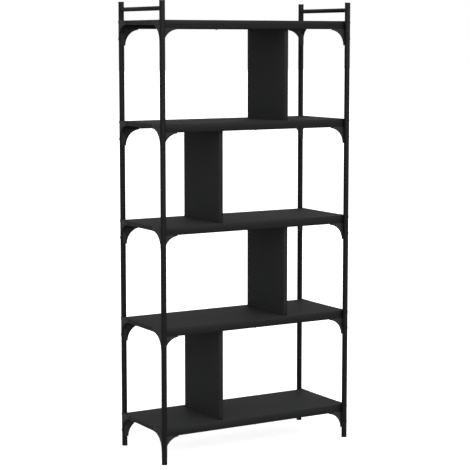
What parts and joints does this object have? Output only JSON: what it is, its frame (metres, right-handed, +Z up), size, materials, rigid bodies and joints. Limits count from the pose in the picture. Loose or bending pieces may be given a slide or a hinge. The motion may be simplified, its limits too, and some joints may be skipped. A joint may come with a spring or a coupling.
{
  "type": "open bookcase",
  "caption": "Tall open bookcase: round black metal posts, black boards on rails with arched corner gussets, and upright dividers set left and right in turn.",
  "frame": {"origin": "on the floor, at the middle of the bookcase's footprint", "axes": "+Z up, +X along the boards from the left to the right, -Y towards the front"},
  "size_m": [0.7544, 0.3168, 1.547],
  "materials": {
    "frame_coat": "fine satin black powder coat",
    "board_black": "matte black laminated board with matching edge band",
    "cap_plastic": "moulded black plastic",
    "black_fastener": "black oxide",
    "zinc_steel": "zinc plated",
    "dowel_wood": "plain beech"
  },
  "bodies": {
    "root": {"post_front_left": "frame_coat", "top_cap_front_left": "cap_plastic", "foot_cap_front_left": "cap_plastic", "side_plate_front_left_1": "frame_coat", "side_plate_front_left_2": "frame_coat", "side_plate_front_left_3": "frame_coat", "side_plate_front_left_4": "frame_coat", "side_plate_front_left_5": "frame_coat", "post_front_right": "frame_coat", "top_cap_front_right": "cap_plastic", "foot_cap_front_right": "cap_plastic", "side_plate_front_right_1": "frame_coat", "side_plate_front_right_2": "frame_coat", "side_plate_front_right_3": "frame_coat", "side_plate_front_right_4": "frame_coat", "side_plate_front_right_5": "frame_coat", "post_back_left": "frame_coat", "top_cap_back_left": "cap_plastic", "foot_cap_back_left": "cap_plastic", "side_plate_back_left_1": "frame_coat", "side_plate_back_left_2": "frame_coat", "side_plate_back_left_3": "frame_coat", "side_plate_back_left_4": "frame_coat", "side_plate_back_left_5": "frame_coat", "post_back_right": "frame_coat", "top_cap_back_right": "cap_plastic", "foot_cap_back_right": "cap_plastic", "side_plate_back_right_1": "frame_coat", "side_plate_back_right_2": "frame_coat", "side_plate_back_right_3": "frame_coat", "side_plate_back_right_4": "frame_coat", "side_plate_back_right_5": "frame_coat", "gallery_rail_left": "frame_coat", "gallery_rail_right": "frame_coat", "shelf_board_1": "board_black", "front_rail_1": "frame_coat", "back_rail_1": "frame_coat", "shelf_board_2": "board_black", "front_rail_2": "frame_coat", "back_rail_2": "frame_coat", "shelf_board_3": "board_black", "front_rail_3": "frame_coat", "back_rail_3": "frame_coat", "shelf_board_4": "board_black", "front_rail_4": "frame_coat", "back_rail_4": "frame_coat", "shelf_board_5": "board_black", "front_rail_5": "frame_coat", "back_rail_5": "frame_coat", "divider_1": "board_black", "divider_2": "board_black", "divider_3": "board_black", "divider_4": "board_black", "frame_bolts": "black_fastener", "rail_screws": "black_fastener", "divider_screws": "zinc_steel", "threaded_inserts": "zinc_steel", "divider_dowels": "dowel_wood"}
  },
  "joints": []
}
